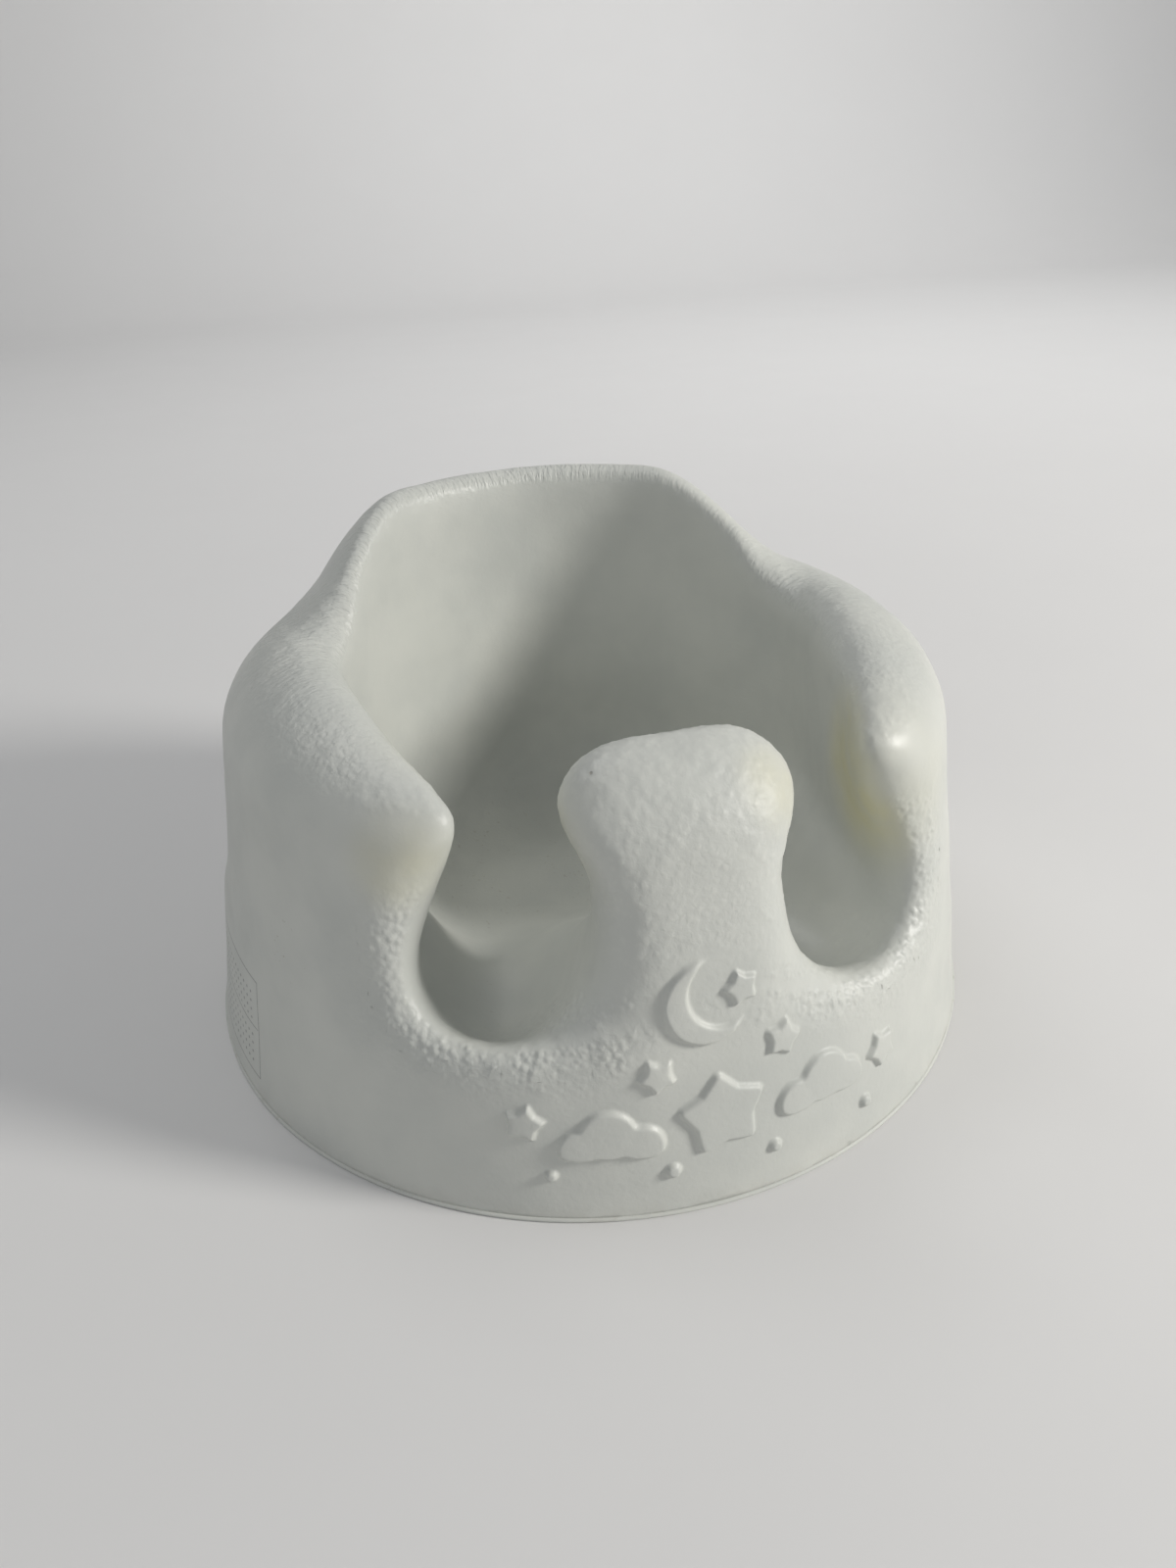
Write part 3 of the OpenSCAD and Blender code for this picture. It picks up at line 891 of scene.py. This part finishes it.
def foam_finish():
    """Skin of the moulding: pebbled or stroked rims, fine marks, stains and painted bounce light, grime,
    painted shade in hollows and vents, a darker band at the bottom, and a printed panel.
    """
    f = Finish("moulded_foam")
    grain, strokes, inside = f.mask("grain"), f.mask("strokes"), f.mask("inside")
    outside, lip = f.mask("outside"), f.mask("lip")
    xyz = f.node("ShaderNodeSeparateXYZ")
    f.put(xyz.inputs[0], f.place)
    x, y, z = xyz.outputs

    # fine pebbling over the modelled pebbles, drawn out across the back rim
    modelled = f.fall(y, -(FINE_Y + FINE_FADE) * MM, -FINE_Y * MM)
    domes = f.fall(f.cells(DOME_SCALE, DOME_SOFT), *DOME_EDGE)
    hide = f.patches(*HIDE, warp=HIDE_WARP)
    leather = f.plus(f.times(domes, DOME_SHARE), f.times(hide, HIDE_SHARE))
    drawn_out = f.patches(*DRAWN_OUT, at=fan_place(f, x, y, z), warp=DRAWN_WARP)
    pattern = f.plus(f.times(leather, f.minus(1.0, strokes)), f.times(drawn_out, strokes))
    depth = f.times(grain, f.minus(GRAIN_MM, f.times(modelled, MODELLED_LESS_MM)))
    for share, most_mm in ((strokes, STROKE_MM), (outside, WALL_MM), (lip, LIP_MM)):
        depth = f.plus(depth, f.times(share, most_mm))
    height = f.times(pattern, depth)
    height = f.plus(height, f.times(f.patches(*BOWL_HAZE), f.times(inside, BOWL_MM)))
    for skin_pattern, most_mm in SKIN_MM:
        height = f.plus(height, f.times(f.noise(skin_pattern), most_mm))

    # rough speckle on the seat floor near the leg channels
    floor_rough = f.times(f.fall(z, *SPECKLE_Z), inside)
    height = f.plus(height, f.times(f.noise(SPECKLE), f.times(floor_rough, SPECKLE_MM)))

    # tiny vents of the mould, a chip on the left arm, and scratches
    holes = f.spot(*VENTS[0])
    for vent in VENTS[1:]:
        holes = f.most(holes, f.spot(*vent))
    chip = f.spot(*CHIP)
    height = f.minus(height, f.times(f.most(holes, chip), VENT_MM))
    height = f.minus(height, f.times(scratch_lines(f, inside), SCRATCH_MM))
    f.bump(height)

    # colour: faint clouding, painted shade in the hollows between the pebbles, yellowed stains where hands
    # and skin rub, and inside the right arm a yellow patch that is partly stain and partly painted bounce
    # light
    colour = f.mix(f.patches(*CLOUDING), FOAM, FOAM_DEEP)
    # painted shade: the hollows between the pebbles are darkened towards the deeper foam colour
    pit_shade = f.times(f.fall(leather, *PIT_EDGE), f.most(grain, lip))
    colour = f.mix(f.times(pit_shade, PIT_SHADE_SHARE), colour, FOAM_DEEP)
    # partly painted bounce light: the yellow patch inside the right arm stands in for a warm glow as well
    # as a stain; the other spots are stains
    stain_and_bounce = f.times(f.spot(*MAIN_STAIN_AND_BOUNCE), f.plus(BOUNCE_STAIN_OUTSIDE, f.times(inside, 1 - BOUNCE_STAIN_OUTSIDE)))
    for place, near, far, share in STAINS:
        stain_and_bounce = f.most(stain_and_bounce, f.times(f.spot(place, near, far), share))
    stain_and_bounce = f.times(stain_and_bounce, f.patches(*STAIN_AND_BOUNCE_PATCHES))
    colour = f.mix(f.times(stain_and_bounce, STAIN_AND_BOUNCE_SHARE), colour, YELLOW_STAIN_AND_BOUNCE)

    # grime: brown specks low on the left wall and on the seat floor, patches darker along the bottom of the
    # wall, and painted shade in the vent holes
    specks = f.times(f.patches(*SPECKS), f.most(f.spot(*SPECKLED), f.times(floor_rough, FLOOR_SPECKS)))
    # darker in patches towards the floor, fading out 10 mm up the wall
    low_band = f.times(f.fall(z, *LOW_BAND_Z), f.patches(*LOW_BAND))
    dirt_and_shade = f.most(f.times(specks, SPECK_SHARE), f.times(low_band, LOW_BAND_SHARE))
    # painted shade: the vent holes are darkened with the grime colour
    dirt_and_shade = f.most(dirt_and_shade, f.most(f.times(holes, VENT_SHADE_SHARE), f.times(chip, CHIP_SHARE)))
    colour = f.mix(dirt_and_shade, colour, GRIME_AND_SHADE)
    ink = f.times(panel_ink(f, x, y, z), outside)
    colour = f.mix(f.times(ink, INK_SHARE), colour, PRINT)

    # satin skin: smoother and a little glossier inside the bowl, duller on the pebbled rims
    rough = f.plus(ROUGH, f.times(inside, ROUGH_INSIDE))
    rough = f.plus(rough, f.times(grain, ROUGH_GRAIN))
    rough = f.plus(rough, f.patches(*SHEEN))
    rough = f.plus(rough, f.times(stain_and_bounce, ROUGH_STAIN_AND_BOUNCE))
    f.surface(Base_Color=colour, Roughness=rough, IOR=FOAM_IOR)
    return f.material


def underside_finish():
    """Plain skin against the mould's lid: fine peel, a few pores darkened with painted shade, and rub marks
    from the floor.
    """
    peel, peel_mm = (240.0, 2.0, 0.5), 0.12
    swell, swell_mm = (40.0, 2.0, 0.5), 0.2
    pore_scale, pore_edge, pore_mm, pore_shade_share = 55.0, (0.015, 0.05), 0.3, 0.5
    clouding = (12.0, 3.0, 0.6), (0.3, 0.75)
    rubbing, rub_stretch, rub_share = ((1.0, 3.0, 0.6), (0.58, 0.7)), (30.0, 190.0, 30.0), 0.22
    sheen = (30.0, 3.0, 0.6), (0.3, 0.7, 0.46, 0.6)
    f = Finish("underside_skin")
    pores = f.fall(f.cells(pore_scale, 0.0), *pore_edge)
    height = f.plus(f.times(f.noise(peel), peel_mm), f.times(f.noise(swell), swell_mm))
    f.bump(f.minus(height, f.times(pores, pore_mm)))
    colour = f.mix(f.patches(*clouding), FOAM, FOAM_DEEP)
    rub = f.patches(*rubbing, at=f.scaled(rub_stretch), warp=RUB_WARP)
    colour = f.mix(f.times(rub, rub_share), colour, GRIME_AND_SHADE)
    # painted shade: the pores are darkened
    colour = f.mix(f.times(pores, pore_shade_share), colour, GRIME_AND_SHADE)
    f.surface(Base_Color=colour, Roughness=f.patches(*sheen), IOR=FOAM_IOR)
    return f.material


def stage_finish():
    """Pale floor with a faint unevenness."""
    clouding = (3.0, 3.0, 0.6)
    sheen = (9.0, 2.0, 0.5), (0.3, 0.7, 0.66, 0.74)
    f = Finish("studio_floor")
    f.surface(Base_Color=f.mix(f.noise(clouding), *FLOOR_COLOURS), Roughness=f.patches(*sheen))
    return f.material


# ---- the pieces ----

seat = make_seat()
finish_seat(seat)
seat.data.materials.append(foam_finish())
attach(seat, "root")
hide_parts("moulded_skin", "foam_core")

underside = make_underside()
underside.data.materials.append(underside_finish())
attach(underside, "root")
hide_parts("base_skin")


# ---- floor, light and camera, in metres ----

def make_stage():
    """Pale floor that curves up into a pale wall far behind the seat."""
    half_w, front, bend_y, bend_r, top, near_seat, bend_steps = 4.0, -3.0, 2.6, 0.9, 3.2, 0.6, 12
    line = [(front, 0.0), (-near_seat, 0.0), (near_seat, 0.0), (bend_y, 0.0)]
    for k in range(1, bend_steps + 1):
        a = math.pi / 2 * k / bend_steps
        line.append((bend_y + bend_r * math.sin(a), bend_r * (1 - math.cos(a))))
    line.append((bend_y + bend_r, top))
    verts = [(x, y, z) for y, z in line for x in (-half_w, half_w)]
    faces = [(2 * k, 2 * k + 1, 2 * k + 3, 2 * k + 2) for k in range(len(line) - 1)]
    mesh = bpy.data.meshes.new("studio_floor")
    mesh.from_pydata(verts, [], faces)
    smooth_all(mesh)
    obj = new_object("studio_floor", mesh)
    obj.data.materials.append(stage_finish())
    return obj


def area_lamp(name, place, aim, size, power, colour):
    lamp = bpy.data.lights.new(name, "AREA")
    lamp.shape, lamp.size, lamp.energy, lamp.color = "DISK", size, power, colour
    obj = new_object(name, lamp)
    obj.location = place
    obj.rotation_mode = "QUATERNION"
    obj.rotation_quaternion = (Vector(aim) - Vector(place)).to_track_quat("-Z", "Y")


make_stage()

# each lamp with its place, what it aims at, its width, its power in watts and its colour
SEAT_MIDDLE = (0, 0, 0.1)
LAMPS = (
    ("key", (1.75, -1.05, 1.1), SEAT_MIDDLE, 0.55, 40.0, (1.0, 0.975, 0.94)),
    ("fill", (-1.7, -1.5, 1.1), SEAT_MIDDLE, 1.6, 6.0, (0.95, 0.97, 1.0)),
    ("top", (-0.5, 0.8, 2.1), SEAT_MIDDLE, 1.3, 9.0, (1, 1, 1)),
    ("backdrop", (1.5, 1.5, 2.4), (1.8, 3.5, 0.9), 3.0, 44.0, (1, 1, 1)),
)
for lamp_row in LAMPS:
    area_lamp(*lamp_row)

SKY_COLOUR, SKY_STRENGTH = (0.94, 0.96, 1.0, 1), 0.26
world = bpy.data.worlds.new("studio")
world.use_nodes = True
bpy.context.scene.world = world
sky = world.node_tree.nodes["Background"]
sky.inputs["Color"].default_value = SKY_COLOUR
sky.inputs["Strength"].default_value = SKY_STRENGTH

# camera: place in mm and angles in the seat's frame, for an image of 1200 by 1600 pixels
CAM_PLACE = (-140.2, -498.8, 381.9)
CAM_HEADING, CAM_DOWN, CAM_ROLL = math.radians(15.975), math.radians(28.94), math.radians(-1.89)
CAM_SENSOR, CAM_LENS = 36.0, 27.0
CAM_NEAR, CAM_FAR = 0.01, 50.0
forward = Vector((math.sin(CAM_HEADING) * math.cos(CAM_DOWN), math.cos(CAM_HEADING) * math.cos(CAM_DOWN),
                  -math.sin(CAM_DOWN)))
level = Vector((math.cos(CAM_HEADING), -math.sin(CAM_HEADING), 0))
upward = level.cross(forward)
right = level * math.cos(CAM_ROLL) + upward * math.sin(CAM_ROLL)
top_side = right.cross(forward)
camera = new_object("camera", bpy.data.cameras.new("camera"))
turn = Matrix((right, top_side, -forward)).transposed().to_4x4()
camera.matrix_world = Matrix.Translation(Vector(CAM_PLACE) * MM) @ turn
camera.data.sensor_fit = "AUTO"
camera.data.sensor_width, camera.data.lens = CAM_SENSOR, CAM_LENS
camera.data.clip_start, camera.data.clip_end = CAM_NEAR, CAM_FAR
bpy.context.scene.camera = camera
bpy.context.scene.view_settings.view_transform = "Standard"
